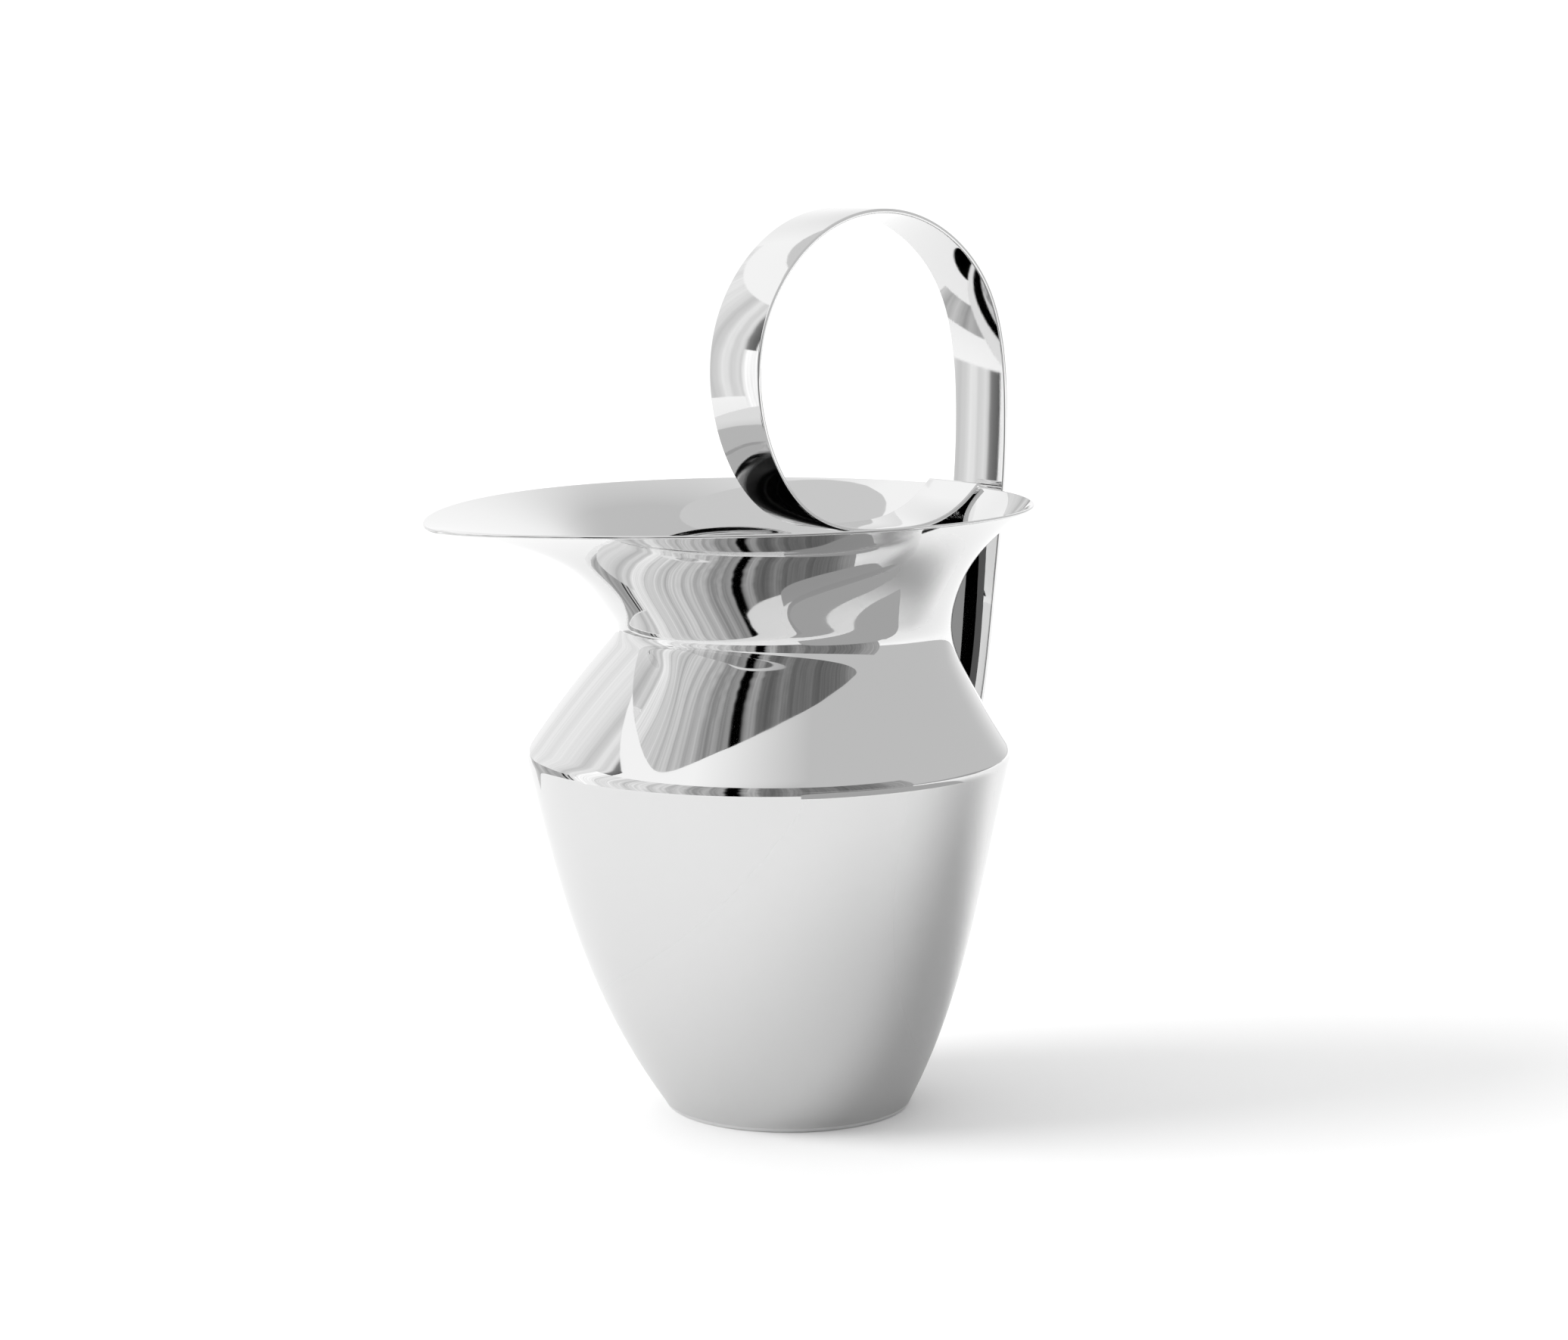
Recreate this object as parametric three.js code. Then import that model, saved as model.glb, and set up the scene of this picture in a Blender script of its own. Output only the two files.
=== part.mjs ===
// A free-standing water jug in polished metal: a tapered round body, a wide mouth drawn
// out into a spout, and a ribbon handle that climbs behind the mouth and loops down into it.
// Millimetres, +Z up. The origin is the middle of the underside. The spout points along -X,
// the handle stands at +X and Y runs across the jug.

import * as THREE from 'three';

// Sheet and joints
const WALL = 1.0;
const JOINT_GAP = 0.3;
const AROUND = 56;

// Side of the lower body: a radius that grows with height, as a cubic in height / SHOULDER_Z
const BASE_RADIUS = 39.3;
const SIDE_RISE = 71.2;
const SIDE_EASE = -54.7;
const SIDE_LIFT = 22.2;
const BOTTOM_ROUND = 1.4;
const BOTTOM_ROUND_SHARES = [0, 0.5];

// Shoulder: the side meets a cone that leans in to the neck
const SHOULDER_Z = 118;
const CONE_Z = 127;
const CONE_RADIUS = 72.1;
const CONE_SLOPE = -0.671;
const SHOULDER_SOFT = 3.0;
const SIDE_TOP_LEVELS = [108, 114];
const SIDE_STEPS = 6;
const CONE_LEVELS = [121, 124, 138, 151, 155];

// Round sections wander off the vertical axis: forwards up to the shoulder, back at the neck
const SHOULDER_SHIFT = -8.5;
const NECK_SHIFT = -2.0;

// Neck and mouth: the wall curls out from a crease to the rim, more steeply at the spout
const NECK_Z = 159;
const NECK_RADIUS = 53.7;
const NECK_SOFT = 8.1;
const RIM_Z = 196.7;
const CURL_START = { back: 0.19, spout: 0.52 };
const CURL_POWER = { back: 2.17, spout: 4.5 };
const CURL_STEPS = 9;
const CURL_CROWDING = 1.6;

// Rim outline: a round mouth and a spout that fades away from its tip, in degrees of bearing
const MOUTH_RADIUS = 77.4;
const SPOUT_REACH = 57.8;
const SPOUT_SPREAD = 40;
const SPOUT_TIP_ROUND = 6;

// Base plate
const PLATE_THICKNESS = 1.6;
const PLATE_RADIUS = BASE_RADIUS - BOTTOM_ROUND - JOINT_GAP;

// Ribbon handle: one flat strip along a smooth curve through these points of the XZ plane
const STRIP_WIDTH = 23.4;
const STRIP_THICKNESS = 1.5;
const STRIP_CHAMFER = 0.4;
const STRIP_STEPS = 96;
const STRIP_FOOT = [[60.6, 68], [64.7, 88], [73, 112]];
const STRIP_RISER = [[81.7, 160], [86.6, 227]];
const STRIP_LOOP = [[77.4, 264.2], [45.2, 287.3], [5.8, 283.4], [-20.6, 252.1], [-14.7, 209.9]];
const STRIP_DIP = [[-1.2, 194.6], [17.8, 187.6], [36.5, 186.3], [53, 187.4]];
const STRIP_END = [[67, 193], [74.4, 198.7]];

// Solder beads at the two ends of the strip
const BEAD_WIDTH = 1.6;
const BEAD_HEIGHT = 1.1;
const BEAD_LENGTH = 20;
const BEAD_STEPS = 8;
const BEAD_SECTION = [[0, 0], [0, 1], [0.5, 0.75], [1, 0]];
const LIP_BEAD_DROP = 7.2;

const polished = new THREE.MeshStandardMaterial({ color: 0xdcdcde, roughness: 0.05, metalness: 1 });
const solder = new THREE.MeshStandardMaterial({ color: 0xb9b9bb, roughness: 0.3, metalness: 1 });

const jug = new THREE.Group();

function addPiece(name, geometry, material) {
  const mesh = new THREE.Mesh(geometry, material);
  mesh.name = name;
  jug.add(mesh);
}

// ---- Outer surface of the vessel: radius about the neck's axis by angle and height

// The larger or the smaller of two curves, with the corner rounded where they are near each other
function softMax(a, b, soft) {
  const nearness = Math.max(1 - Math.abs(a - b) / soft, 0);
  return Math.max(a, b) + (soft * nearness ** 3) / 6;
}

function softMin(a, b, soft) {
  return -softMax(-a, -b, soft);
}

function bodyRadius(z) {
  const u = z / SHOULDER_Z;
  const side = BASE_RADIUS + SIDE_RISE * u + SIDE_EASE * u ** 2 + SIDE_LIFT * u ** 3;
  const cone = CONE_RADIUS + CONE_SLOPE * (z - CONE_Z);
  return softMin(side, cone, SHOULDER_SOFT);
}

function sectionShift(z) {
  if (z < SHOULDER_Z) return SHOULDER_SHIFT * (1 - (1 - z / SHOULDER_Z) ** 2);
  const v = (z - SHOULDER_Z) / (NECK_Z - SHOULDER_Z);
  return SHOULDER_SHIFT + (NECK_SHIFT - SHOULDER_SHIFT) * v ** 2;
}

function rimRadius(angle) {
  const fromSpout = THREE.MathUtils.radToDeg(Math.abs(Math.PI - angle));
  const fade = (Math.hypot(fromSpout, SPOUT_TIP_ROUND) - SPOUT_TIP_ROUND) / SPOUT_SPREAD;
  return MOUTH_RADIUS + SPOUT_REACH * Math.exp(-fade);
}

function mouthRadius(angle, z) {
  const s = (z - NECK_Z) / (RIM_Z - NECK_Z);
  const spoutShare = (1 - Math.cos(angle)) / 2;
  const start = THREE.MathUtils.lerp(CURL_START.back, CURL_START.spout, spoutShare);
  const power = THREE.MathUtils.lerp(CURL_POWER.back, CURL_POWER.spout, spoutShare);
  const curl = start * s + (1 - start) * Math.max(s, 0) ** power;
  return NECK_RADIUS + (rimRadius(angle) - NECK_RADIUS) * curl;
}

function outerRadius(angle, z) {
  const shift = sectionShift(z) - NECK_SHIFT;
  const across = shift * Math.sin(angle);
  const body = shift * Math.cos(angle) + Math.sqrt(Math.max(bodyRadius(z) ** 2 - across ** 2, 0));
  return z < SHOULDER_Z ? body : softMax(body, mouthRadius(angle, z), NECK_SOFT);
}

function outerPoint(angle, z) {
  const r = outerRadius(angle, z);
  return new THREE.Vector3(NECK_SHIFT + r * Math.cos(angle), r * Math.sin(angle), z);
}

function outerNormal(angle, z) {
  const step = 0.01;
  const along = outerPoint(angle + step, z).sub(outerPoint(angle - step, z));
  const up = outerPoint(angle, z + step).sub(outerPoint(angle, z - step));
  return along.cross(up).normalize();
}

function innerPoint(angle, z) {
  return outerPoint(angle, z).addScaledVector(outerNormal(angle, z), -WALL);
}

// ---- Mesh builders

// A closed skin over a grid of points whose last row joins its first row, and whose
// columns either go all the way round or end in two flat caps
function gridSkin(rows, capped) {
  const count = rows[0].length;
  const index = [];
  rows.forEach((row, i) => {
    const next = (i + 1) % rows.length;
    for (let j = 0; j < (capped ? count - 1 : count); j += 1) {
      const k = (j + 1) % count;
      index.push(i * count + j, i * count + k, next * count + k);
      index.push(i * count + j, next * count + k, next * count + j);
    }
  });
  if (capped) {
    for (let i = 1; i < rows.length - 1; i += 1) {
      index.push(0, i * count, (i + 1) * count);
      index.push(count - 1, (i + 1) * count + count - 1, i * count + count - 1);
    }
  }
  const geometry = new THREE.BufferGeometry().setFromPoints(rows.flat());
  geometry.setIndex(index);
  geometry.computeVertexNormals();
  return geometry;
}

function ring(pointAt) {
  return Array.from({ length: AROUND }, (_, j) => pointAt((2 * Math.PI * j) / AROUND));
}

// Heights from one level to another, evenly spaced or crowding towards the last one
function heights(from, to, steps, crowding = 1) {
  return Array.from({ length: steps + 1 }, (_, i) => {
    const share = 1 - (1 - i / steps) ** crowding;
    return from + (to - from) * share;
  });
}

function wallSkin(levels, bottomRows = [], topRows = []) {
  const outer = levels.map((z) => ring((angle) => outerPoint(angle, z)));
  const inner = [...levels].reverse().map((z) => ring((angle) => innerPoint(angle, z)));
  return gridSkin([...bottomRows, ...outer, ...topRows, ...inner], false);
}

// ---- Vessel

function basePlate() {
  const plate = new THREE.CylinderGeometry(PLATE_RADIUS, PLATE_RADIUS, PLATE_THICKNESS, AROUND);
  return plate.rotateX(Math.PI / 2).translate(0, 0, PLATE_THICKNESS / 2);
}

function lowerBody() {
  const bottomRows = BOTTOM_ROUND_SHARES.map((share) => {
    const turn = (share * Math.PI) / 2;
    const inset = BOTTOM_ROUND * (1 - Math.sin(turn));
    const drop = BOTTOM_ROUND * Math.cos(turn);
    return ring((angle) => {
      const inwards = new THREE.Vector3(-Math.cos(angle), -Math.sin(angle), 0);
      const point = outerPoint(angle, BOTTOM_ROUND).addScaledVector(inwards, inset);
      return point.setZ(BOTTOM_ROUND - drop);
    });
  });
  const [topStart, ...topLevels] = SIDE_TOP_LEVELS;
  const levels = [...heights(BOTTOM_ROUND, topStart, SIDE_STEPS), ...topLevels, SHOULDER_Z];
  return wallSkin(levels, bottomRows);
}

function upperBody() {
  return wallSkin([SHOULDER_Z + JOINT_GAP, ...CONE_LEVELS, NECK_Z - JOINT_GAP]);
}

function mouth() {
  const levels = heights(NECK_Z, RIM_Z, CURL_STEPS, CURL_CROWDING);
  const edge = ring((angle) => {
    const outer = outerPoint(angle, RIM_Z);
    const outward = new THREE.Vector3().subVectors(outer, outerPoint(angle, RIM_Z - 0.1)).normalize();
    const middle = outer.addScaledVector(outerNormal(angle, RIM_Z), -WALL / 2);
    return middle.addScaledVector(outward, WALL / 2);
  });
  return wallSkin(levels, [], [edge]);
}

// ---- Handle

// Second derivatives of the natural cubic spline through values at the given knots
function splineBends(knots, values) {
  const n = knots.length;
  const bends = new Array(n).fill(0);
  const carry = new Array(n).fill(0);
  for (let i = 1; i < n - 1; i += 1) {
    const before = knots[i] - knots[i - 1];
    const after = knots[i + 1] - knots[i];
    const share = before / (before + after);
    const pivot = share * bends[i - 1] + 2;
    const jump = (values[i + 1] - values[i]) / after - (values[i] - values[i - 1]) / before;
    bends[i] = (share - 1) / pivot;
    carry[i] = ((6 * jump) / (before + after) - share * carry[i - 1]) / pivot;
  }
  for (let i = n - 2; i >= 0; i -= 1) bends[i] = bends[i] * bends[i + 1] + carry[i];
  return bends;
}

// A smooth planar curve through the points, with length along their chords as its parameter
function smoothCurve(points) {
  const knots = [0];
  points.slice(1).forEach(([x, z], i) => {
    const [x0, z0] = points[i];
    knots.push(knots[i] + Math.hypot(x - x0, z - z0));
  });
  const axes = [0, 1].map((axis) => points.map((point) => point[axis]));
  const bends = axes.map((values) => splineBends(knots, values));
  return (share) => {
    const at = share * knots.at(-1);
    const i = Math.min(knots.findLastIndex((knot) => knot <= at), knots.length - 2);
    const span = knots[i + 1] - knots[i];
    const b = (at - knots[i]) / span;
    const a = 1 - b;
    return axes.map((values, axis) => {
      const curved = (a ** 3 - a) * bends[axis][i] + (b ** 3 - b) * bends[axis][i + 1];
      return a * values[i] + b * values[i + 1] + (curved * span ** 2) / 6;
    });
  };
}

// The strip's section as (across, off) pairs: a flat bar with its four corners taken off
function stripSection() {
  const y = STRIP_WIDTH / 2;
  const h = STRIP_THICKNESS / 2;
  const corner = [[y - STRIP_CHAMFER, h], [y, h - STRIP_CHAMFER]];
  const below = [...corner].reverse().map(([across, off]) => [across, -off]);
  const side = [...corner, ...below];
  return [...side, ...[...side].reverse().map(([across, off]) => [-across, off])];
}

function handle() {
  const curve = smoothCurve([...STRIP_FOOT, ...STRIP_RISER, ...STRIP_LOOP, ...STRIP_DIP, ...STRIP_END]);
  const step = 1e-4;
  const stations = Array.from({ length: STRIP_STEPS + 1 }, (_, i) => {
    const share = i / STRIP_STEPS;
    const [x, z] = curve(share);
    const [x0, z0] = curve(Math.max(share - step, 0));
    const [x1, z1] = curve(Math.min(share + step, 1));
    const length = Math.hypot(x1 - x0, z1 - z0);
    return { x, z, normalX: (z0 - z1) / length, normalZ: (x1 - x0) / length };
  });
  const rows = stripSection().map(([across, off]) => stations.map((station) => {
    const { x, z, normalX, normalZ } = station;
    return new THREE.Vector3(x + off * normalX, across, z + off * normalZ);
  }));
  return gridSkin(rows, true);
}

// ---- Solder

// A low bead laid on the vessel along Y: seatAt gives, for a place across, the point that
// the bead lies on, the direction it stands up in and the direction it spreads in
function bead(seatAt) {
  const seats = Array.from({ length: BEAD_STEPS + 1 }, (_, i) => {
    const across = BEAD_LENGTH / 2 - (BEAD_LENGTH * i) / BEAD_STEPS;
    return seatAt(across);
  });
  const rows = BEAD_SECTION.map(([along, up]) => seats.map(({ point, rise, spread }) => {
    const corner = point.clone().addScaledVector(rise, JOINT_GAP + up * BEAD_HEIGHT);
    return corner.addScaledVector(spread, along * BEAD_WIDTH);
  }));
  return gridSkin(rows, true);
}

function angleAcross(y, z) {
  let angle = 0;
  for (let i = 0; i < 20; i += 1) angle = Math.asin(y / outerRadius(angle, z));
  return angle;
}

function footBead() {
  const z = STRIP_FOOT[0][1] - JOINT_GAP;
  return bead((y) => {
    const angle = angleAcross(y, z);
    const rise = outerNormal(angle, z);
    return { point: outerPoint(angle, z), rise, spread: new THREE.Vector3(0, 0, -1) };
  });
}

// In the wedge between the inside of the mouth and the underside of the strip's upper end
function lipBead() {
  const z = RIM_Z - LIP_BEAD_DROP;
  return bead((y) => {
    const angle = angleAcross(-y, z);
    const spread = outerPoint(angle, z - 0.5).sub(outerPoint(angle, z)).normalize();
    return { point: innerPoint(angle, z), rise: outerNormal(angle, z).negate(), spread };
  });
}

addPiece('base_plate', basePlate(), polished);
addPiece('lower_body', lowerBody(), polished);
addPiece('upper_body', upperBody(), polished);
addPiece('mouth', mouth(), polished);
addPiece('handle', handle(), polished);
addPiece('foot_solder', footBead(), solder);
addPiece('lip_solder', lipBead(), solder);

export default jug;
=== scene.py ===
# A mirror-polished metal water pitcher, standing on a pale studio table.
# The scene is in metres; every dimension here is in millimetres, as on the CAD model,
# except in the studio, where a name or comment says metres.
# The spout points along -X, the handle stands at +X and Y runs across.

import math

import bpy
import numpy as np
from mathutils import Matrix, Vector


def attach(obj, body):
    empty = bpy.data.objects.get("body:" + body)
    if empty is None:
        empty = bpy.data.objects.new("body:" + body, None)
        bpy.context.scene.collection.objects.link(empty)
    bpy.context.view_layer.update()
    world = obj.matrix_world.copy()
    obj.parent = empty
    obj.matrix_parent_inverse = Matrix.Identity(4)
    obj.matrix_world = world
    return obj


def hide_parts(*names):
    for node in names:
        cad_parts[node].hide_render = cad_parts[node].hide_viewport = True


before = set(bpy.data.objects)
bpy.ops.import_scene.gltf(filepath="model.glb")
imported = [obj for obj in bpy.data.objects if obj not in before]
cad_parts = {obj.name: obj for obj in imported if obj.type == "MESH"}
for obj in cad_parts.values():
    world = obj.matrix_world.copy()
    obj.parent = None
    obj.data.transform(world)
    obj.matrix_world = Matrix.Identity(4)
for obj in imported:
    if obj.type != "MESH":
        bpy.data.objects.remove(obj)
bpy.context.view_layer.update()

MM = 0.001

# ---- Dimensions shared with the CAD model

WALL = 1.0
BASE_RADIUS, SIDE_RISE, SIDE_EASE, SIDE_LIFT = 39.3, 71.2, -54.7, 22.2
BOTTOM_ROUND = 1.4
SHOULDER_Z, SHOULDER_SOFT, SHOULDER_SHIFT = 118.0, 3.0, -8.5
CONE_Z, CONE_RADIUS, CONE_SLOPE = 127.0, 72.1, -0.671
NECK_Z, NECK_RADIUS, NECK_SOFT, NECK_SHIFT = 159.0, 53.7, 8.1, -2.0
RIM_Z = 196.7
CURL_START = (0.19, 0.52)      # at the back, at the spout
CURL_POWER = (2.17, 4.5)
MOUTH_RADIUS, SPOUT_REACH, SPOUT_SPREAD, SPOUT_TIP_ROUND = 77.4, 57.8, 40.0, 6.0
PLATE_THICKNESS, PLATE_EDGE, PLATE_GAP = 1.6, 0.3, 0.05
STRIP_WIDTH, STRIP_THICKNESS, STRIP_EDGE = 23.4, 1.5, 0.45
STRIP_POINTS = [
    (60.6, 68), (64.7, 88), (73, 112), (81.7, 160), (86.6, 227),
    (77.4, 264.2), (45.2, 287.3), (5.8, 283.4), (-20.6, 252.1), (-14.7, 209.9),
    (-1.2, 194.6), (17.8, 187.6), (36.5, 186.3), (53, 187.4), (67, 193), (74.4, 198.7),
]
BEAD_WIDTH, BEAD_HEIGHT, BEAD_LENGTH = 1.6, 1.1, 20.0
BEAD_SECTION = [(0, 0), (0, 0.6), (0.12, 0.9), (0.4, 0.95), (0.75, 0.6), (1, 0)]
BEAD_GAP = 0.02                # between the bead and the wall under it
FOOT_BEAD_DROP, LIP_BEAD_DROP = 0.3, 7.2

# ---- Fineness of the meshes

AROUND = 384                   # points round the vessel
BOTTOM_ROWS, RIM_ROWS, PLATE_EDGE_ROWS = 6, 7, 4
STRIP_STATIONS, STRIP_CORNER_STEPS = 700, 4
BEAD_STATIONS = 40
PLATE_PINHOLE = 0.02
RIM_STEP, LIP_STEP, NORMAL_STEP = 0.05, 0.5, 0.005     # the last is in radians as well
ANGLE_ROUNDS = 20              # far more than it takes to settle
STRIP_MARK = 100               # length of one unit of the strip's own coordinates

# ---- Finish of the metal: levels are 0 to 1, depths of relief in metres

NOISE_LOW, NOISE_HIGH = 0.3, 0.7         # most of a noise lies between these
POLISH_TONES, POLISH_ROUGHNESS = (0.785, 0.80), (0.02, 0.05)
DENT_SCALE, DENT_DEPTH = 22, 0.00006
RIPPLE_STRETCH, RIPPLE_SCALE, RIPPLE_DEPTH = (1, 1, 1.5), 75, 0.00002
GLOSS_SCALE, TONE_SCALE = 55, 9
BRUSH_STRETCH, BRUSH_SCALE, BRUSH_DEPTH = (260, 0.9, 1), 4, 0.0000012
HANDLE_RIPPLE = 0.4            # the handle is flatter than the vessel
# Painted shade: the inside's dark tones stand in for the shade in the hollow.
INSIDE_SHADE_TONES, INSIDE_ROUGHNESS = (0.05, 0.12), (0.25, 0.45)
HAZE_SCALE, HAZE_DEPTH = 40, 0.0001
# Painted shade in the throat: full below the first height, gone above the second.
THROAT_SHADE_FULL_Z, THROAT_SHADE_END_Z = 168.0, 173.0
THROAT_SHADE_TONE, THROAT_ROUGHNESS = 0.06, 0.3
SOLDER_TONES, SOLDER_ROUGHNESS = (0.22, 0.75), (0.35, 0.15)
LUMP_SCALE, LUMP_DEPTH = 900, 0.0006

# ---- Studio. Sides are in degrees from the direction in which the camera stands,
# seen from above the pitcher: positive ones are at the right of the picture.

VIEW_AZIMUTH = -131.74
CAMERA_PLACE = (-754.96, -844.01, 311.57)
CAMERA_TARGET = (-1.92, 0.0, 142.81)
CAMERA_LENS, CAMERA_SENSOR = 81.52, 36

FLOOR_HALF = 3.0               # metres
FLOOR_TONE, FLOOR_ROUGHNESS, FLOOR_SHEEN = 0.97, 0.7, 0.2

KEY_SIDE, LEFT_LEVEL, RIGHT_LEVEL, SEEN_LEVEL = -97, 1.12, 0.63, 1.1
SKY_TILT, SKY_FROM, SKY_TO = 0.25, -0.1, 0.6

KEY_ENERGY, KEY_SOFTNESS, KEY_LIGHT_SIDE, KEY_LIGHT_RISE = 1.8, 30, -78, 35
FILL_ENERGY, FILL_SOFTNESS, FILL_LIGHT_SIDE, FILL_LIGHT_RISE = 0.27, 60, 82, 60

ROOM_DISTANCE, ROOM_TOP, GAP_LOW, GAP_TOP = 0.33, 0.30, 0.02, 0.10              # metres
CURTAIN_DISTANCE, CURTAIN_TOP = 1.0, 0.95                                       # metres
FOLD_STRETCH, WOBBLE_STRETCH, WOBBLE = (70, 0.5, 1), (2, 5, 1), 0.012
SIDE_MARK = 100                # degrees in one unit of a striped card's own coordinates
STRIPED_COLUMNS, SOFT_COLUMNS, RING_COLUMNS = 60, 24, 40
TONE_POINTS, FLAG_POINTS = 64, 32
RING_TIP = 0.01                # width left at the two tips of a crescent

# The dark room seen through the open front of the tent: side and brightness.
ROOM_LEVELS = [
    (-90, 1.20), (-80, 1.05), (-76, 0.86), (-70, 1.0), (-62, 0.78), (-55, 0.92),
    (-50, 0.66), (-45, 0.80), (-41, 0.55), (-37, 0.78), (-34, 0.48), (-30, 0.36),
    (-27, 0.58), (-24, 0.33), (-19.5, 0.42), (-18, 0.0), (-13, 0.0), (-12, 0.22),
    (-9, 0.5), (-6, 0.45), (-4, 0.2), (2, 0.17), (6, 0.27), (9, 0.33), (13, 0.2),
    (22, 0.24), (30, 0.19), (44, 0.22), (50, 0.3), (62, 0.45),
]
# The low gap at the left side of the tent, with the thin dark posts that hold it.
GAP_LEVELS = [
    (-138, 0.75), (-130, 0.5), (-124, 0.62), (-117, 0.4), (-111, 0.55), (-105, 0.42),
    (-101, 0.5), (-100.5, 0.0), (-99, 0.0), (-98.5, 0.6), (-96.5, 0.7), (-96, 0.0),
    (-95.2, 0.0), (-94.5, 0.9), (-90, 1.2),
]
# Faint folds in the tent's left side, which ends at a dark gap.
CURTAIN_LEVELS = [
    (-152, 1.0), (-146, 0.9), (-140, 1.02), (-134, 0.9), (-127, 1.02), (-120, 0.94),
    (-113, 0.88), (-108, 0.7), (-104, 0.82), (-101, 1.0), (-97, 0.78), (-94, 0.9),
    (-92.5, 0.75), (-91, 0.25), (-86, 0.12),
]


# ---- Outer surface of the vessel, as arrays over angle and height

def soft_max(a, b, soft):
    nearness = np.maximum(1 - np.abs(a - b) / soft, 0)
    return np.maximum(a, b) + soft * nearness ** 3 / 6


def body_radius(z):
    u = z / SHOULDER_Z
    side = BASE_RADIUS + SIDE_RISE * u + SIDE_EASE * u ** 2 + SIDE_LIFT * u ** 3
    cone = CONE_RADIUS + CONE_SLOPE * (z - CONE_Z)
    return -soft_max(-side, -cone, SHOULDER_SOFT)


def section_shift(z):
    below = SHOULDER_SHIFT * (1 - (1 - z / SHOULDER_Z) ** 2)
    v = (z - SHOULDER_Z) / (NECK_Z - SHOULDER_Z)
    above = SHOULDER_SHIFT + (NECK_SHIFT - SHOULDER_SHIFT) * v ** 2
    return np.where(z < SHOULDER_Z, below, above)


def rim_radius(angle):
    from_spout = np.degrees(np.abs(np.pi - np.mod(angle, 2 * np.pi)))
    fade = (np.hypot(from_spout, SPOUT_TIP_ROUND) - SPOUT_TIP_ROUND) / SPOUT_SPREAD
    return MOUTH_RADIUS + SPOUT_REACH * np.exp(-fade)


def mouth_radius(angle, z):
    s = (z - NECK_Z) / (RIM_Z - NECK_Z)
    spout_share = (1 - np.cos(angle)) / 2
    start = CURL_START[0] + (CURL_START[1] - CURL_START[0]) * spout_share
    power = CURL_POWER[0] + (CURL_POWER[1] - CURL_POWER[0]) * spout_share
    curl = start * s + (1 - start) * np.maximum(s, 0) ** power
    return NECK_RADIUS + (rim_radius(angle) - NECK_RADIUS) * curl


def outer_radius(angle, z):
    shift = section_shift(z) - NECK_SHIFT
    across = shift * np.sin(angle)
    body = shift * np.cos(angle) + np.sqrt(np.maximum(body_radius(z) ** 2 - across ** 2, 0))
    return np.where(z < SHOULDER_Z, body, soft_max(body, mouth_radius(angle, z), NECK_SOFT))


def outer_point(angle, z):
    r = outer_radius(angle, z)
    return np.stack([NECK_SHIFT + r * np.cos(angle), r * np.sin(angle), z + 0 * r], -1)


def unit(v):
    return v / np.linalg.norm(v, axis=-1, keepdims=True)


def outer_normal(angle, z):
    along = outer_point(angle + NORMAL_STEP, z) - outer_point(angle - NORMAL_STEP, z)
    up = outer_point(angle, z + NORMAL_STEP) - outer_point(angle, z - NORMAL_STEP)
    return unit(np.cross(along, up))


def inner_point(angle, z):
    return outer_point(angle, z) - WALL * outer_normal(angle, z)


# ---- Meshes

def link_object(name, mesh):
    piece = bpy.data.objects.new(name, mesh)
    bpy.context.scene.collection.objects.link(piece)
    return piece


def grid_piece(name, rows, closed_across, sharp_rows=(), uv=None):
    """A closed skin over rows of points (millimetres). The last row joins the first;
    columns go round, or end in two flat caps."""
    rows = np.asarray(rows, float)
    count_rows, count = rows.shape[:2]
    spans = count if closed_across else count - 1
    faces = []
    for i in range(count_rows):
        a, b = i * count, ((i + 1) % count_rows) * count
        for j in range(spans):
            k = (j + 1) % count
            faces.append((a + j, a + k, b + k, b + j))
    if not closed_across:
        faces.append(tuple(range(0, count_rows * count, count)))
        faces.append(tuple(range(count - 1, count_rows * count, count))[::-1])
    mesh = bpy.data.meshes.new(name)
    mesh.from_pydata((rows.reshape(-1, 3) * MM).tolist(), [], faces)
    mesh.validate()
    mesh.polygons.foreach_set("use_smooth", [True] * len(mesh.polygons))
    sharp = {row % count_rows for row in sharp_rows}
    for edge in mesh.edges if sharp else ():
        a, b = (v // count for v in edge.vertices)
        if a == b and a in sharp:
            edge.use_edge_sharp = True
    if uv is not None:
        layer = mesh.uv_layers.new(name="strip")
        loop_vertex = np.zeros(len(mesh.loops), np.int32)
        mesh.loops.foreach_get("vertex_index", loop_vertex)
        layer.data.foreach_set("uv", uv.reshape(-1, 2)[loop_vertex].astype(np.float32).ravel())
    return link_object(name, mesh)


# ---- Shader nodes

def node_material(name):
    material = bpy.data.materials.new(name)
    material.use_nodes = True
    nodes = material.node_tree.nodes
    return material, nodes, material.node_tree.links, nodes["Principled BSDF"]


def add_node(nodes, kind, **settings):
    """A node, with its settings and the values of its named or numbered inputs."""
    node = nodes.new(kind)
    for key, value in settings.pop("inputs", {}).items():
        node.inputs[key].default_value = value
    for key, value in settings.items():
        setattr(node, key, value)
    return node


def object_place(nodes):
    return add_node(nodes, "ShaderNodeTexCoord").outputs["Object"]


def uv_place(nodes, layer):
    return add_node(nodes, "ShaderNodeUVMap", uv_map=layer).outputs["UV"]


def split(nodes, links, vector):
    apart = add_node(nodes, "ShaderNodeSeparateXYZ")
    links.new(vector, apart.inputs[0])
    return apart.outputs


def stretched(nodes, links, source, scale, seed=0.0):
    """Coordinates from a source socket, scaled along each axis."""
    mapping = add_node(nodes, "ShaderNodeMapping",
                       inputs={"Scale": scale, "Location": (seed, seed, 0)})
    links.new(source, mapping.inputs["Vector"])
    return mapping.outputs["Vector"]


def noise_on(nodes, links, vector, scale, detail, roughness=0.5):
    noise = add_node(nodes, "ShaderNodeTexNoise",
                     inputs={"Scale": scale, "Detail": detail, "Roughness": roughness})
    links.new(vector, noise.inputs["Vector"])
    return noise.outputs["Fac"]


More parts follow.
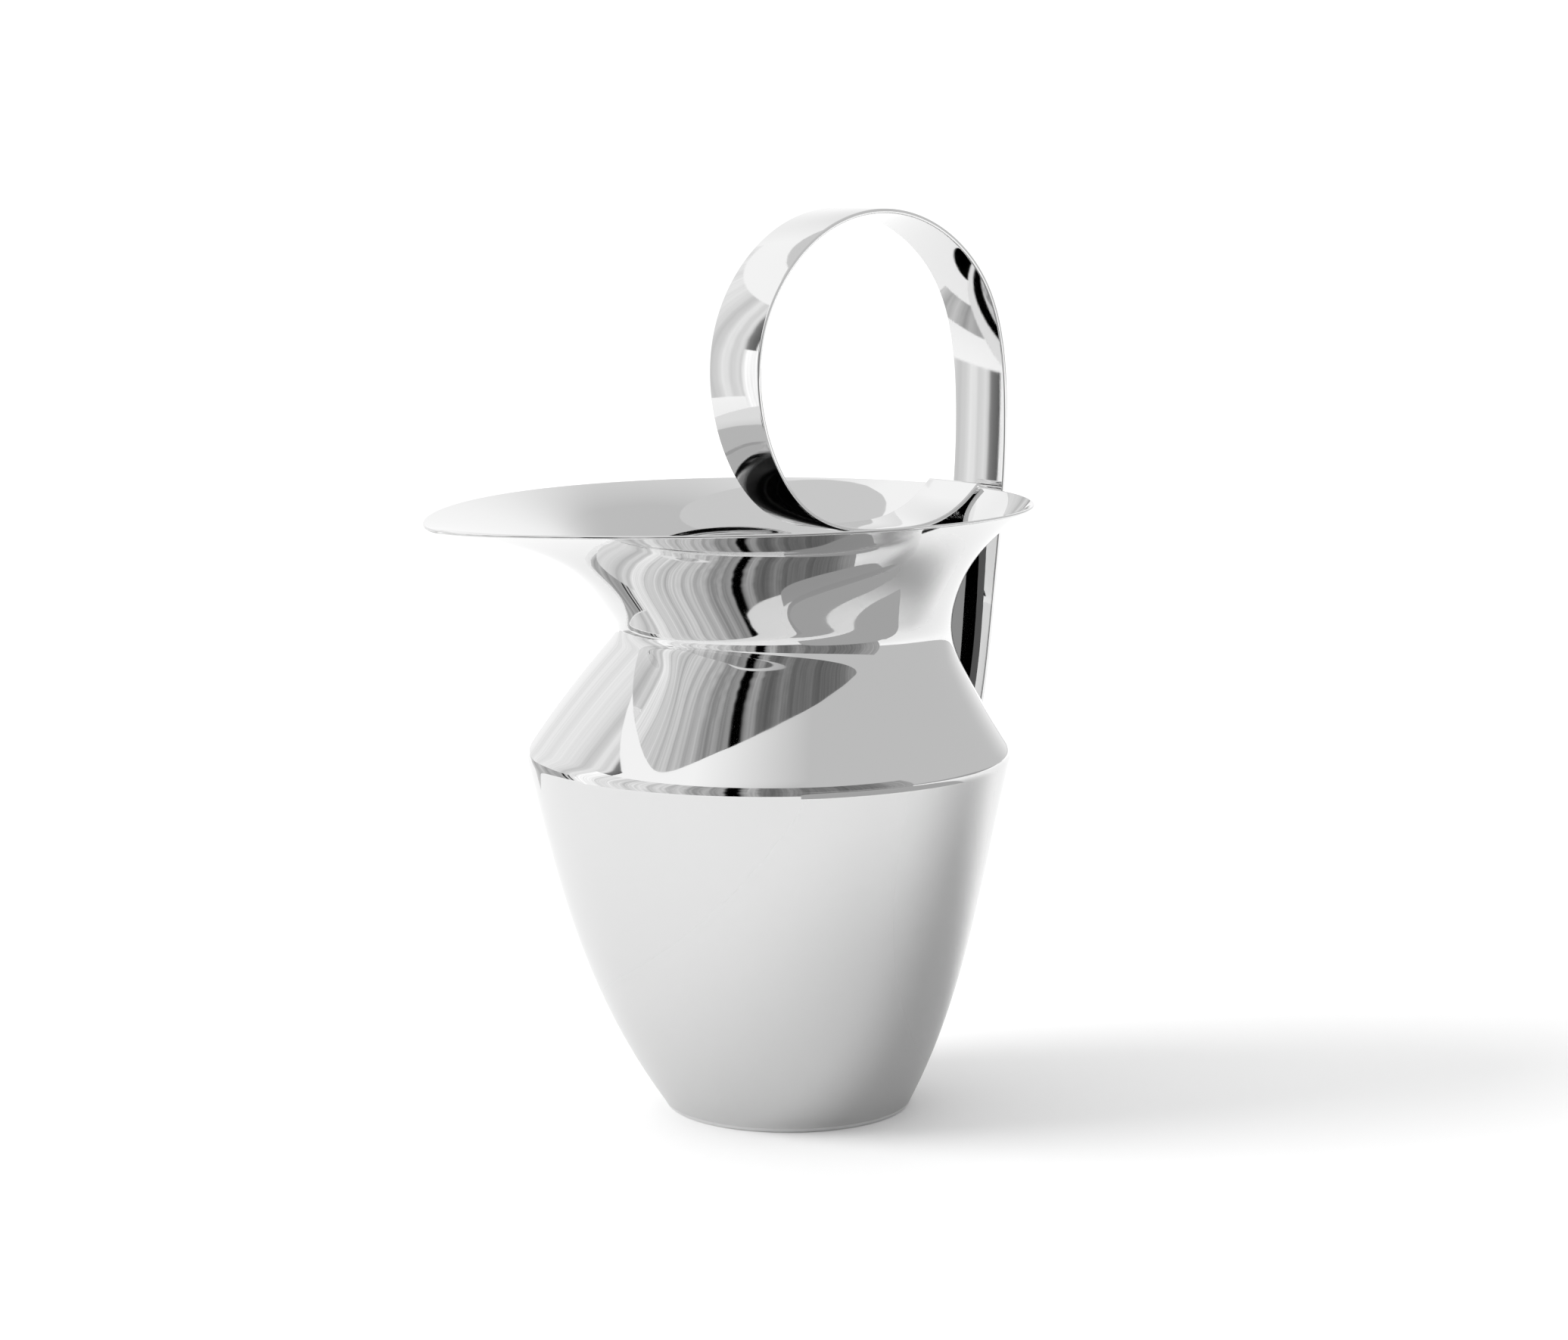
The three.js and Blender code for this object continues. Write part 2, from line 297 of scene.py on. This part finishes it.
def ranged(nodes, links, value, low, high, to_low, to_high, smooth=False):
    node = add_node(nodes, "ShaderNodeMapRange", inputs={1: low, 2: high, 3: to_low, 4: to_high},
                    interpolation_type="SMOOTHSTEP" if smooth else "LINEAR")
    links.new(value, node.inputs[0])
    return node.outputs[0]


def bumped(nodes, links, height, distance, under=None):
    bump = add_node(nodes, "ShaderNodeBump", inputs={"Strength": 1.0, "Distance": distance})
    links.new(height, bump.inputs["Height"])
    if under is not None:
        links.new(under, bump.inputs["Normal"])
    return bump.outputs["Normal"]


def grey_ramp(nodes, links, value, stops):
    """Greys that follow a value, from pairs of position and level."""
    ramp = add_node(nodes, "ShaderNodeValToRGB")
    elements = ramp.color_ramp.elements
    while len(elements) < len(stops):
        elements.new(0.5)
    for element, (position, level) in zip(elements, stops):
        element.position = position
        element.color = (level, level, level, 1)
    links.new(value, ramp.inputs["Fac"])
    return ramp.outputs["Color"]


# ---- Metals

def polished_metal(name, ripple=1.0, brushed=False):
    """Mirror polish: slow dents and finer ripples left by the polishing wheel, small
    changes of gloss, and on the handle fine lines along its length."""
    material, nodes, links, shader = node_material(name)
    shader.inputs["Metallic"].default_value = 1.0
    place = object_place(nodes)
    dents = noise_on(nodes, links, place, DENT_SCALE, detail=1.0)
    ripple_place = stretched(nodes, links, place, RIPPLE_STRETCH)
    ripples = noise_on(nodes, links, ripple_place, RIPPLE_SCALE, detail=1.0)
    normal = bumped(nodes, links, dents, DENT_DEPTH * ripple)
    normal = bumped(nodes, links, ripples, RIPPLE_DEPTH * ripple, normal)
    gloss = noise_on(nodes, links, place, GLOSS_SCALE, detail=5.0, roughness=0.6)
    if brushed:
        line_place = stretched(nodes, links, uv_place(nodes, "strip"), BRUSH_STRETCH)
        gloss = noise_on(nodes, links, line_place, BRUSH_SCALE, detail=3.0)
        normal = bumped(nodes, links, gloss, BRUSH_DEPTH, normal)
    links.new(normal, shader.inputs["Normal"])
    rough = ranged(nodes, links, gloss, NOISE_LOW, NOISE_HIGH, *POLISH_ROUGHNESS)
    links.new(rough, shader.inputs["Roughness"])
    tone = noise_on(nodes, links, place, TONE_SCALE, detail=3.0)
    tones = [(NOISE_LOW, POLISH_TONES[0]), (NOISE_HIGH, POLISH_TONES[1])]
    colour = grey_ramp(nodes, links, tone, tones)
    links.new(colour, shader.inputs["Base Color"])
    return material


def rough_metal(name, scale, detail, tones, roughness_range, roughness, depth):
    """Unpolished metal: one pattern sets its tone, its roughness and its relief."""
    material, nodes, links, shader = node_material(name)
    shader.inputs["Metallic"].default_value = 1.0
    pattern = noise_on(nodes, links, object_place(nodes), scale, detail=detail)
    colour = grey_ramp(nodes, links, pattern, [(0, tones[0]), (1, tones[1])])
    links.new(colour, shader.inputs["Base Color"])
    rough = ranged(nodes, links, pattern, *roughness_range, *roughness)
    links.new(rough, shader.inputs["Roughness"])
    links.new(bumped(nodes, links, pattern, depth), shader.inputs["Normal"])
    return material


def inside_metal():
    """The inside below the neck: rough, as no wheel reaches it, and dark with painted shade of the
    hollow.
    """
    return rough_metal("inside_painted_shade", HAZE_SCALE, 4.0, INSIDE_SHADE_TONES,
                       (0.2, 0.8), INSIDE_ROUGHNESS, HAZE_DEPTH)


def solder_metal():
    """Solder left as it froze: grey, lumpy, with bright specks."""
    return rough_metal("silver_solder", LUMP_SCALE, 3.0, SOLDER_TONES,
                       (NOISE_LOW, NOISE_HIGH), SOLDER_ROUGHNESS, LUMP_DEPTH)


def throat_metal():
    """The inside of the mouth: mirror polish that ends in the throat, where painted shade also
    darkens it.
    """
    material = polished_metal("throat_with_painted_shade")
    nodes, links = material.node_tree.nodes, material.node_tree.links
    shader = nodes["Principled BSDF"]
    height = split(nodes, links, object_place(nodes))["Z"]
    # Share from the throat's painted shade and rough end, at 0, to the polished mouth, at 1.
    polish = ranged(nodes, links, height, THROAT_SHADE_FULL_Z * MM, THROAT_SHADE_END_Z * MM, 0, 1)
    # The mix node's sockets for each kind of value: deep end (painted shade, rougher), polished end
    # and result.
    mixes = [
        ("Base Color", "RGBA", (THROAT_SHADE_TONE, THROAT_SHADE_TONE, THROAT_SHADE_TONE, 1), 6, 7, 2),
        ("Roughness", "FLOAT", THROAT_ROUGHNESS, 2, 3, 0),
    ]
    for socket, kind, deep_value, deep_end, polished_end, result in mixes:
        polished = shader.inputs[socket].links[0].from_socket
        mix = add_node(nodes, "ShaderNodeMix", data_type=kind)
        mix.inputs[deep_end].default_value = deep_value
        links.new(polish, mix.inputs[0])
        links.new(polished, mix.inputs[polished_end])
        links.new(mix.outputs[result], shader.inputs[socket])
    return material


# ---- Vessel

ANGLES = np.arange(AROUND) * 2 * np.pi / AROUND


def ring_at(z):
    return outer_point(ANGLES, np.full(AROUND, z))


def heights(*stretches):
    """Heights of rows of points. Each stretch has its start, end, count of rows, and how
    much they crowd towards its end, where 1 is even."""
    levels = []
    for start, end, count, crowding in stretches:
        share = 1 - (1 - np.linspace(0, 1, count)) ** crowding
        levels.append(start + (end - start) * share)
    return np.concatenate(levels)


def wall_piece(name, levels, bottom_rows=(), top_rows=(), sharp_ends=(True, True)):
    outer = [ring_at(z) for z in levels]
    inner = [inner_point(ANGLES, np.full(AROUND, z)) for z in levels[::-1]]
    rows = [*bottom_rows, *outer, *top_rows, *inner]
    sharp = []
    if sharp_ends[0]:
        sharp += [len(bottom_rows), len(rows) - 1]
    if sharp_ends[1]:
        top = len(bottom_rows) + len(outer)
        sharp += [top - 1, top + len(top_rows)]
    return grid_piece(name, rows, True, sharp)


def rounded_bottom():
    rows = []
    for share in np.linspace(0, 1, BOTTOM_ROWS + 1)[:-1]:
        turn = share * np.pi / 2
        point = ring_at(BOTTOM_ROUND)
        flat = np.linalg.norm(point[:, :2], axis=1, keepdims=True)
        point[:, :2] *= 1 - BOTTOM_ROUND * (1 - math.sin(turn)) / flat
        point[:, 2] = BOTTOM_ROUND * (1 - math.cos(turn))
        rows.append(point)
    return rows


def rim_edge():
    """The rounded edge of the rim, from the outer face over to the inner one."""
    outer = ring_at(RIM_Z)
    normal = outer_normal(ANGLES, np.full(AROUND, RIM_Z))
    outward = unit(outer - ring_at(RIM_Z - RIM_STEP))
    middle = outer - normal * WALL / 2
    rows = []
    for share in np.linspace(0, 1, RIM_ROWS + 2)[1:-1]:
        turn = share * np.pi
        rows.append(middle + (normal * math.cos(turn) + outward * math.sin(turn)) * WALL / 2)
    return rows


def disc_piece(name, radius):
    """The base plate: a disc with a rounded lower edge and a pinhole in its middle."""
    profile = [(PLATE_PINHOLE, 0), (radius - PLATE_EDGE, 0)]
    for share in np.linspace(0, 1, PLATE_EDGE_ROWS + 1)[1:]:
        turn = share * np.pi / 2
        out, up = PLATE_EDGE * math.sin(turn), PLATE_EDGE * (1 - math.cos(turn))
        profile.append((radius - PLATE_EDGE + out, up))
    profile += [(radius, PLATE_THICKNESS), (PLATE_PINHOLE, PLATE_THICKNESS)]
    circle = np.cos(ANGLES), np.sin(ANGLES)
    rows = [np.stack([r * circle[0], r * circle[1], np.full(AROUND, z)], -1) for r, z in profile]
    return grid_piece(name, rows, True, (1, PLATE_EDGE_ROWS + 1, PLATE_EDGE_ROWS + 2))


lower_levels = heights((BOTTOM_ROUND, 108, 60, 1), (109, SHOULDER_Z, 30, 1))
upper_levels = heights((SHOULDER_Z, 126, 30, 1), (127, 148, 20, 1), (149, NECK_Z, 36, 1))
mouth_levels = heights((NECK_Z, 166, 30, 1), (166.4, RIM_Z, 70, 1.7))

lower_body = wall_piece("lower_body_wall", lower_levels, rounded_bottom(), sharp_ends=(False, True))
upper_body = wall_piece("upper_body_wall", upper_levels)
mouth = wall_piece("mouth_wall", mouth_levels, top_rows=rim_edge(), sharp_ends=(True, False))
base_plate = disc_piece("base_plate_disc", BASE_RADIUS - BOTTOM_ROUND - PLATE_GAP)


# ---- Handle strip

def natural_spline(knots, values, at):
    n = len(knots)
    span = np.diff(knots)
    system, right = np.eye(n), np.zeros(n)
    for i in range(1, n - 1):
        before, after = span[i - 1], span[i]
        system[i, i - 1:i + 2] = before, 2 * (before + after), after
        right[i] = 6 * ((values[i + 1] - values[i]) / after - (values[i] - values[i - 1]) / before)
    bends = np.linalg.solve(system, right)
    i = np.clip(np.searchsorted(knots, at, side="right") - 1, 0, n - 2)
    b = (at - knots[i]) / span[i]
    a = 1 - b
    curved = (a ** 3 - a) * bends[i] + (b ** 3 - b) * bends[i + 1]
    return a * values[i] + b * values[i + 1] + curved * span[i] ** 2 / 6


def strip_curve(count):
    points = np.array(STRIP_POINTS, float)
    knots = np.concatenate([[0], np.cumsum(np.hypot(*np.diff(points, axis=0).T))])
    at = np.linspace(0, knots[-1], count)
    x, z = (natural_spline(knots, points[:, axis], at) for axis in (0, 1))
    return x, z, at


def strip_section():
    """Round-cornered flat bar: (across, off) pairs in clockwise order."""
    half_width, half = STRIP_WIDTH / 2, STRIP_THICKNESS / 2
    corners = ((half_width, half), (half_width, -half), (-half_width, -half), (-half_width, half))
    points = []
    for start, (across, off) in enumerate(corners):
        middle_across = across - math.copysign(STRIP_EDGE, across)
        middle_off = off - math.copysign(STRIP_EDGE, off)
        for step in range(STRIP_CORNER_STEPS + 1):
            turn = math.pi / 2 * (1 - start - step / STRIP_CORNER_STEPS)
            points.append((middle_across + STRIP_EDGE * math.cos(turn),
                           middle_off + STRIP_EDGE * math.sin(turn)))
    return points


def handle_strip():
    """The strip along its curve, with coordinates of its own across it and along it."""
    x, z, at = strip_curve(STRIP_STATIONS)
    tx, tz = np.gradient(x, at), np.gradient(z, at)
    length = np.hypot(tx, tz)
    nx, nz = -tz / length, tx / length
    rows, uv = [], []
    for across, off in strip_section():
        rows.append(np.stack([x + off * nx, np.full_like(x, across), z + off * nz], -1))
        uv.append(np.stack([np.full_like(at, across / STRIP_MARK + 0.5), at / STRIP_MARK], -1))
    return grid_piece("handle_strip", rows, False, uv=np.array(uv))


handle = handle_strip()


# ---- Solder beads

def bead_piece(name, seats):
    """A bead on seats along the wall: place, direction off the wall, direction along it."""
    rows = []
    for along, up in BEAD_SECTION:
        lift, spread = up * BEAD_HEIGHT + BEAD_GAP, along * BEAD_WIDTH
        rows.append([place + rise * lift + down * spread for place, rise, down in seats])
    return grid_piece(name, rows, False)


def angle_across(y, z):
    """The angle at which the outer surface lies y across, found in a few rounds."""
    angle = 0.0
    for _ in range(ANGLE_ROUNDS):
        angle = math.asin(y / float(outer_radius(angle, z)))
    return angle


def foot_bead():
    z = np.float64(STRIP_POINTS[0][1] - FOOT_BEAD_DROP)
    seats = []
    for y in np.linspace(BEAD_LENGTH / 2, -BEAD_LENGTH / 2, BEAD_STATIONS):
        angle = angle_across(y, z)
        seats.append((outer_point(angle, z), outer_normal(angle, z), np.array([0, 0, -1.0])))
    return bead_piece("foot_solder_bead", seats)


def lip_bead():
    z = np.float64(RIM_Z - LIP_BEAD_DROP)
    seats = []
    for y in np.linspace(-BEAD_LENGTH / 2, BEAD_LENGTH / 2, BEAD_STATIONS):
        angle = angle_across(y, z)
        down = unit(outer_point(angle, z - LIP_STEP) - outer_point(angle, z))
        seats.append((inner_point(angle, z), -outer_normal(angle, z), down))
    return bead_piece("lip_solder_bead", seats)


foot_solder = foot_bead()
lip_solder = lip_bead()


# ---- Pieces in the frame

def finish_piece(piece, material, node):
    piece.data.materials.append(material)
    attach(piece, "root")
    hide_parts(node)


def line_inside(piece, first_row, material):
    """Gives another metal to the faces from one row of points onwards."""
    piece.data.materials.append(material)
    for polygon in piece.data.polygons:
        if polygon.index // AROUND >= first_row:
            polygon.material_index = 1


silver = polished_metal("polished_silver")
handle_silver = polished_metal("polished_handle_silver", ripple=HANDLE_RIPPLE, brushed=True)
inside = inside_metal()
throat = throat_metal()
solder = solder_metal()

finish_piece(base_plate, silver, "base_plate")
finish_piece(lower_body, silver, "lower_body")
finish_piece(upper_body, silver, "upper_body")
finish_piece(mouth, silver, "mouth")
finish_piece(handle, handle_silver, "handle")
finish_piece(foot_solder, solder, "foot_solder")
finish_piece(lip_solder, solder, "lip_solder")
# Inner faces below the neck take the painted shade of the hollow; the mouth's take the throat, with
# its own painted shade.
line_inside(lower_body, len(lower_levels) + BOTTOM_ROWS, inside)
line_inside(upper_body, len(upper_levels), inside)
line_inside(mouth, len(mouth_levels) + RIM_ROWS, throat)


# ---- Studio floor, sky, lights and camera

def side_turn(side):
    return math.radians(VIEW_AZIMUTH + side)


def towards(side, rise):
    """Direction to a side of the studio and up from the floor, in degrees."""
    turn, rise = side_turn(side), math.radians(rise)
    flat = math.cos(rise)
    return Vector((math.cos(turn) * flat, math.sin(turn) * flat, math.sin(rise)))


def floor_piece():
    half = FLOOR_HALF
    corners = [(-half, -half, 0), (half, -half, 0), (half, half, 0), (-half, half, 0)]
    mesh = bpy.data.meshes.new("studio_floor")
    mesh.from_pydata(corners, [], [(0, 1, 2, 3)])
    floor = link_object("studio_floor", mesh)
    material, _, _, shader = node_material("studio_paper")
    shader.inputs["Base Color"].default_value = (FLOOR_TONE, FLOOR_TONE, FLOOR_TONE, 1)
    shader.inputs["Roughness"].default_value = FLOOR_ROUGHNESS
    shader.inputs["Specular IOR Level"].default_value = FLOOR_SHEEN
    mesh.materials.append(material)


def studio_world():
    """Bright on the left, light grey on the right, and white where it is seen directly."""
    world = bpy.data.worlds.new("studio_world")
    bpy.context.scene.world = world
    world.use_nodes = True
    nodes, links = world.node_tree.nodes, world.node_tree.links
    direction = add_node(nodes, "ShaderNodeTexCoord").outputs["Generated"]
    turn = side_turn(KEY_SIDE)
    side = add_node(nodes, "ShaderNodeVectorMath", operation="DOT_PRODUCT",
                    inputs={1: (math.cos(turn), math.sin(turn), SKY_TILT)})
    links.new(direction, side.inputs[0])
    value = side.outputs["Value"]
    level = ranged(nodes, links, value, SKY_FROM, SKY_TO, RIGHT_LEVEL, LEFT_LEVEL)
    nodes["Background"].inputs["Color"].default_value = (1, 1, 1, 1)
    pick = add_node(nodes, "ShaderNodeMix", data_type="FLOAT", inputs={3: SEEN_LEVEL})
    links.new(add_node(nodes, "ShaderNodeLightPath").outputs["Is Camera Ray"], pick.inputs[0])
    links.new(level, pick.inputs[2])
    links.new(pick.outputs[0], nodes["Background"].inputs["Strength"])


def soft_sun(name, energy, softness, side, rise):
    """A soft light from a direction, which the metal doesn't mirror."""
    data = bpy.data.lights.new(name, "SUN")
    data.energy = energy
    data.angle = math.radians(softness)
    light = link_object(name, data)
    light.rotation_mode = "QUATERNION"
    light.rotation_quaternion = towards(side, rise).to_track_quat("Z", "Y")
    light.visible_glossy = False


def studio_camera():
    data = bpy.data.cameras.new("camera")
    data.lens = CAMERA_LENS
    data.sensor_width = CAMERA_SENSOR
    camera = link_object("camera", data)
    place, target = Vector(CAMERA_PLACE) * MM, Vector(CAMERA_TARGET) * MM
    camera.location = place
    camera.rotation_mode = "QUATERNION"
    camera.rotation_quaternion = (target - place).to_track_quat("-Z", "Y")
    bpy.context.scene.camera = camera


# ---- Cards that only the metal mirrors

def glow_material(name, level=1.0):
    material, nodes, links, shader = node_material(name)
    nodes.remove(shader)
    glow = add_node(nodes, "ShaderNodeEmission", inputs={"Color": (level, level, level, 1)})
    links.new(glow.outputs[0], nodes["Material Output"].inputs["Surface"])
    return material, nodes, links, glow


def mirrored_card(name, mesh, material, place=(0, 0, 0)):
    """Puts a card in the studio that is seen in reflections and nowhere else."""
    mesh.materials.append(material)
    card = link_object(name, mesh)
    card.location = place
    card.visible_camera = card.visible_diffuse = card.visible_shadow = False
    card.visible_transmission = card.visible_volume_scatter = False


def band_mesh(name, first, last, columns, edges, marks=None):
    """A band of quads from one side to another round the pitcher, in metres.

    edges(share) gives the radius and height of its two edges, and marks(share, edge)
    the coordinates that its material reads."""
    points = []
    for share in np.linspace(0, 1, columns + 1):
        turn = side_turn(first + (last - first) * share)
        for radius, height in edges(share):
            points.append((radius * math.cos(turn), radius * math.sin(turn), height))
    faces = [(2 * i, 2 * i + 2, 2 * i + 3, 2 * i + 1) for i in range(columns)]
    mesh = bpy.data.meshes.new(name)
    mesh.from_pydata(points, [], faces)
    if marks:
        layer = mesh.uv_layers.new(name="card")
        for loop in mesh.loops:
            column, edge = divmod(loop.vertex_index, 2)
            layer.data[loop.index].uv = marks(column / columns, edge)
    return mesh


def striped_card(name, levels, low, high, contrast, seed, distance=ROOM_DISTANCE):
    """A curved upright card whose brightness changes from stripe to stripe, with folds,
    in metres."""
    first, last = levels[0][0], levels[-1][0]

    def edges(share):
        return (distance, low), (distance, high)

    def marks(share, edge):
        return (first + (last - first) * share) / SIDE_MARK, edge

    mesh = band_mesh(name, first, last, STRIPED_COLUMNS, edges, marks)
    material, nodes, links, glow = glow_material(name)
    place = uv_place(nodes, "card")
    wobble_place = stretched(nodes, links, place, WOBBLE_STRETCH, seed)
    wobble = noise_on(nodes, links, wobble_place, 1, detail=1.0)
    fold_place = stretched(nodes, links, place, FOLD_STRETCH, seed)
    folds = noise_on(nodes, links, fold_place, 1, detail=2.0)
    side = split(nodes, links, place)["X"]
    shifted = add_node(nodes, "ShaderNodeMath", operation="ADD")
    across = ranged(nodes, links, side, first / SIDE_MARK, last / SIDE_MARK, 0, 1)
    links.new(across, shifted.inputs[0])
    links.new(ranged(nodes, links, wobble, 0, 1, -WOBBLE, WOBBLE), shifted.inputs[1])
    stops = [((turn - first) / (last - first), level) for turn, level in levels]
    links.new(grey_ramp(nodes, links, shifted.outputs[0], stops), glow.inputs["Color"])
    strength = ranged(nodes, links, folds, NOISE_LOW, NOISE_HIGH, 1 - contrast, 1 + contrast)
    links.new(strength, glow.inputs["Strength"])
    mirrored_card(name, mesh, material)


def soft_card(name, first, last, low, high, distance, level, fade):
    """A curved upright card of one brightness, fading out to its sides and top, in metres."""
    def edges(share):
        return (distance, low), (distance, high)

    def marks(share, edge):
        return abs(2 * share - 1), edge

    mesh = band_mesh(name, first, last, SOFT_COLUMNS, edges, marks)
    material, nodes, links, glow = glow_material(name, level)
    place = split(nodes, links, uv_place(nodes, "card"))
    both = add_node(nodes, "ShaderNodeMath", operation="MULTIPLY")
    for axis in (0, 1):
        share = ranged(nodes, links, place[axis], 1.0 - fade, 1.0, 1.0, 0.0, smooth=True)
        links.new(share, both.inputs[axis])
    mix = add_node(nodes, "ShaderNodeMixShader")
    links.new(both.outputs[0], mix.inputs[0])
    links.new(add_node(nodes, "ShaderNodeBsdfTransparent").outputs[0], mix.inputs[1])
    links.new(glow.outputs[0], mix.inputs[2])
    links.new(mix.outputs[0], nodes["Material Output"].inputs["Surface"])
    mirrored_card(name, mesh, material)


def ring_card(name, first, last, height, inner, width, level):
    """A flat crescent round the shoulder, in millimetres: the grey that the flare mirrors, painted
    shade standing in for the shadow on the table.
    """
    def edges(share):
        outer = inner + width * math.sin(math.pi * share) ** 0.5 + RING_TIP
        return (inner * MM, height * MM), (outer * MM, height * MM)

    mesh = band_mesh(name, first, last, RING_COLUMNS, edges)
    mirrored_card(name, mesh, glow_material(name, level)[0])


def floor_tone(name, side, offset, radius, middle, height):
    """A clear round sheet just over the floor, in millimetres, that dims what the metal
    mirrors of it: most in its middle, and not at all at its edge."""
    turns = [k * math.tau / TONE_POINTS for k in range(TONE_POINTS)]
    points = [(radius * MM * math.cos(t), radius * MM * math.sin(t), 0) for t in turns]
    mesh = bpy.data.meshes.new(name)
    mesh.from_pydata(points, [], [tuple(range(TONE_POINTS))])
    material, nodes, links, shader = node_material(name)
    nodes.remove(shader)
    clear = add_node(nodes, "ShaderNodeBsdfTransparent")
    links.new(clear.outputs[0], nodes["Material Output"].inputs["Surface"])
    span = add_node(nodes, "ShaderNodeVectorMath", operation="LENGTH")
    links.new(object_place(nodes), span.inputs[0])
    value = span.outputs["Value"]
    share = ranged(nodes, links, value, 0.0, radius * MM, middle, 1.0, smooth=True)
    links.new(share, clear.inputs["Color"])
    turn = side_turn(side)
    place = (offset * MM * math.cos(turn), offset * MM * math.sin(turn), height * MM)
    mirrored_card(name, mesh, material, place)


def flag(name, centre, across, up, level=0.0):
    """A flat oval card: centre and two half sides, in millimetres."""
    centre, across, up = (np.array(v, float) * MM for v in (centre, across, up))
    turns = [k * math.tau / FLAG_POINTS for k in range(FLAG_POINTS)]
    points = [tuple(centre + across * math.cos(t) + up * math.sin(t)) for t in turns]
    mesh = bpy.data.meshes.new(name)
    mesh.from_pydata(points, [], [tuple(range(FLAG_POINTS))])
    mirrored_card(name, mesh, glow_material(name, level)[0])


floor_piece()
studio_world()
# The room, the tent and the sky behind the pitcher.
striped_card("dark_room", ROOM_LEVELS, 0.0, ROOM_TOP, contrast=0.22, seed=0.0)
striped_card("side_gap", GAP_LEVELS, GAP_LOW, GAP_TOP, contrast=0.15, seed=3.0)
soft_card("back_sweep", 135, 235, low=0.1, high=1.4, distance=1.3, level=1.03, fade=0.7)
striped_card("left_curtain", CURTAIN_LEVELS, 0.0, CURTAIN_TOP, contrast=0.06, seed=7.0,
             distance=CURTAIN_DISTANCE)
# Greys that the flare and the lower body mirror of the table: painted shade, mostly the pitcher's
# shadow on it, seen only in the metal.
ring_card("shoulder_card", -4, 74, height=117.5, inner=76, width=15, level=0.42)
ring_card("shoulder_far_card", 8, 80, height=80, inner=133, width=190, level=0.45)
floor_tone("floor_tone", 0, 0, radius=1600, middle=0.82, height=0.4)
floor_tone("floor_shade", 82, 100, radius=215, middle=0.66, height=1.4)
floor_tone("floor_right_shade", 108, 260, radius=200, middle=0.72, height=2.4)
# What the rising part of the handle mirrors behind the neck: dark flags, painted shade of the gap
# between the handle and the neck.
flag("riser_flag", (72, 5.5, 152), (0, 3.8, 0), (8, 0, 44))
flag("riser_right_flag", (71.9, 0.5, 152), (0, 2.5, 0), (8, 0, 44), level=0.10)
flag("riser_left_flag", (71.8, 12, 152), (0, 4.5, 0), (8, 0, 44), level=0.32)
# The dark patch on the loop's inner right.
flag("loop_flag", (58, 96, 150), (30, 0, 0), (0, 15, 0))
flag("loop_far_flag", (-106, 28, 271), (-4.3, 28, 0), (-19.5, -3, -33.9))
# The grey over the mouth, which its inside mirrors.
flag("ceiling_flag", (10, 20, 430), (120, 0, 0), (0, 120, 0), level=0.72)
# Light from the left, with a weaker one from the right to lift the shadow.
soft_sun("key_light", KEY_ENERGY, KEY_SOFTNESS, KEY_LIGHT_SIDE, KEY_LIGHT_RISE)
soft_sun("fill_light", FILL_ENERGY, FILL_SOFTNESS, FILL_LIGHT_SIDE, FILL_LIGHT_RISE)
studio_camera()
bpy.context.scene.view_settings.view_transform = "Standard"
